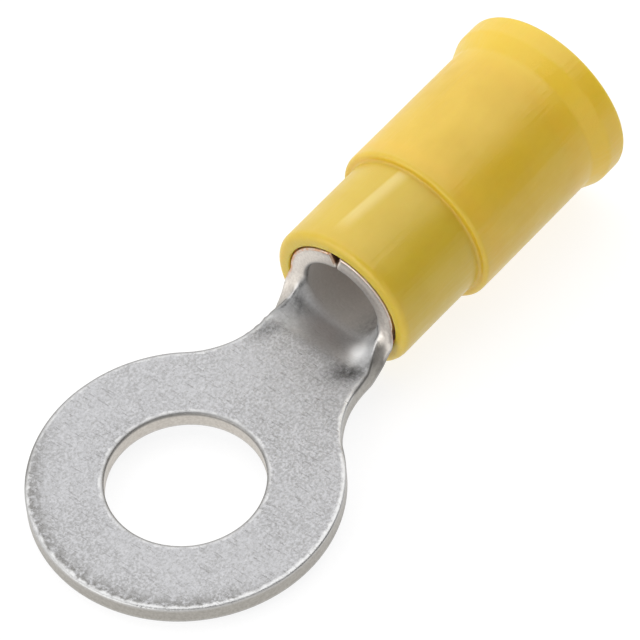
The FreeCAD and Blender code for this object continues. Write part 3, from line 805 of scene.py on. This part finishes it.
nh = ny.math("ADD", ny.math("MULTIPLY", streaky, 0.7), ny.math("MULTIPLY", tiny, 0.12))
ny.to(ny.bump(nh, 0.00004), "Normal")
shell.data.materials.append(ny.mat)

# ------------------------------------------------------------------ floor
allv = np.vstack([np.array([v.co for v in o.data.vertices]) for o in (stamping, shell)])
xz = allv[:, [0, 2]]
xz = xz[np.lexsort((xz[:, 1], xz[:, 0]))]
hull = []
for p in xz:
    while len(hull) > 1 and np.cross(hull[-1] - hull[-2], p - hull[-2]) <= 0:
        hull.pop()
    hull.append(p)
centre_x = 0.0095
under = [(a, b) for a, b in zip(hull[:-1], hull[1:]) if a[0] <= centre_x <= b[0]][0]
slope = (under[1][1] - under[0][1]) / (under[1][0] - under[0][0])
up = Vector((-slope, 0, 1)).normalized()
mid_pt = Vector((under[0][0], 0, under[0][1]))
bpy.ops.mesh.primitive_plane_add(size=6.0, location=mid_pt - up * 0.00002)
floor = bpy.context.object
floor.name = "floor"
floor.rotation_mode = "QUATERNION"
floor.rotation_quaternion = up.to_track_quat("Z", "Y")
floor.visible_diffuse = False      # the light from the table is the world's lower half
floor.visible_glossy = False
fl = Nodes("pale_floor")
fl.shader.inputs["Roughness"].default_value = 0.9
fl.shader.inputs["Specular IOR Level"].default_value = 0.1
fl.shader.inputs["Emission Color"].default_value = (1, 1, 1, 1)
fl.shader.inputs["Emission Strength"].default_value = 0.80
fn = fl.noise(0.02, 2.0, 0.5)
fl.to(fl.ramp(fn, [(0.0, srgb(140, 140, 141)), (1.0, srgb(146, 146, 146))]), "Base Color")
floor.data.materials.append(fl.mat)

# ------------------------------------------------------------------ camera
cam_rows = np.array([[0.63195467, -0.77282557, -0.05808561],
                     [-0.63186328, -0.47038666, -0.61602369],
                     [0.44875616, 0.42600122, -0.78558314]])      # right, down, forward
cam_t = np.array([-5.21192751, 6.67954098, 250.0])
cam_place = -cam_rows.T @ cam_t * MM
cam = bpy.data.cameras.new("camera")
cam.sensor_width = 36.0
cam.lens = 36.0 * 6393.41 / 640
cam.clip_start, cam.clip_end = 0.01, 20.0
camera = bpy.data.objects.new("camera", cam)
right, down, forward = (Vector(v) for v in cam_rows)
m = Matrix((right, -down, -forward)).transposed().to_4x4()
m.translation = Vector(cam_place)
camera.matrix_world = m
scene.collection.objects.link(camera)
scene.camera = camera

# ------------------------------------------------------------------ light
# A light tent: one large overhead softbox behind the object, a pale surround on the +Y side,
# a dark side at -Y, a dark patch where the camera stands, and light from the table below.
world = bpy.data.worlds.new("studio")
scene.world = world
world.use_nodes = True
wt = world.node_tree
wt.nodes.clear()
w_out = wt.nodes.new("ShaderNodeOutputWorld")
w_bg = wt.nodes.new("ShaderNodeBackground")
w_bg.inputs["Strength"].default_value = 1.0
w_co = wt.nodes.new("ShaderNodeTexCoord")


def toward(direction, low, high, value_low, value_high):
    """A smooth step of the cosine between the light's direction and a given one."""
    dot = wt.nodes.new("ShaderNodeVectorMath")
    dot.operation = "DOT_PRODUCT"
    dot.inputs[1].default_value = Vector(direction).normalized()
    wt.links.new(w_co.outputs["Generated"], dot.inputs[0])
    r = wt.nodes.new("ShaderNodeMapRange")
    r.interpolation_type = "SMOOTHSTEP"
    for name, value in (("From Min", low), ("From Max", high), ("To Min", value_low), ("To Max", value_high)):
        r.inputs[name].default_value = value
    wt.links.new(dot.outputs["Value"], r.inputs["Value"])
    return r.outputs[0]


def combine(op, a_, b_):
    node = wt.nodes.new("ShaderNodeMath")
    node.operation = op
    for i, v in enumerate((a_, b_)):
        if isinstance(v, (int, float)):
            node.inputs[i].default_value = v
        else:
            wt.links.new(v, node.inputs[i])
    return node.outputs[0]


def pointing(elev, az):
    e, z = math.radians(elev), math.radians(az)
    return (math.cos(e) * math.cos(z), math.cos(e) * math.sin(z), math.sin(e))


SOFTBOX = 1.50
surround = toward((0, 1, 0), -0.30, 0.70, 0.06, 0.62)
surround = combine("ADD", surround, toward((-0.75, -0.62, 0.22), 0.15, 0.85, 0.0, 0.75))
surround = combine("ADD", surround, toward((1, 0, 0.02), 0.72, 0.95, 0.0, 0.75))
surround = combine("ADD", surround, toward(pointing(16, 165), 0.70, 0.93, 0.0, 1.15))
surround = combine("ADD", surround, toward(pointing(13, 76), 0.82, 0.97, 0.0, 0.60))
box_ = toward(pointing(60, 30), math.cos(math.radians(52)), math.cos(math.radians(32)), 0.0, 1.0)
above = combine("ADD", combine("MULTIPLY", surround, combine("SUBTRACT", 1.0, box_)), combine("MULTIPLY", box_, SOFTBOX))
hollow = toward(-forward, 0.80, 0.96, 1.0, 0.25)
above = combine("MULTIPLY", above, hollow)
below = toward((0, 0, 1), -0.06, 0.03, 1.0, 0.0)
table = combine("MULTIPLY", below, toward((0, 1, 0), -0.4, 0.7, 0.95, 1.0))
total = combine("ADD", combine("MULTIPLY", above, combine("SUBTRACT", 1.0, below)), table)
lp = wt.nodes.new("ShaderNodeLightPath")
total = combine("ADD", combine("MULTIPLY", total, combine("SUBTRACT", 1.0, lp.outputs["Is Camera Ray"])), lp.outputs["Is Camera Ray"])
wt.links.new(total, w_bg.inputs["Color"])
wt.links.new(w_bg.outputs[0], w_out.inputs["Surface"])

scene.view_settings.view_transform = "Standard"
scene.view_settings.look = "None"
scene.view_settings.exposure = 0.0
scene.view_settings.gamma = 1.0
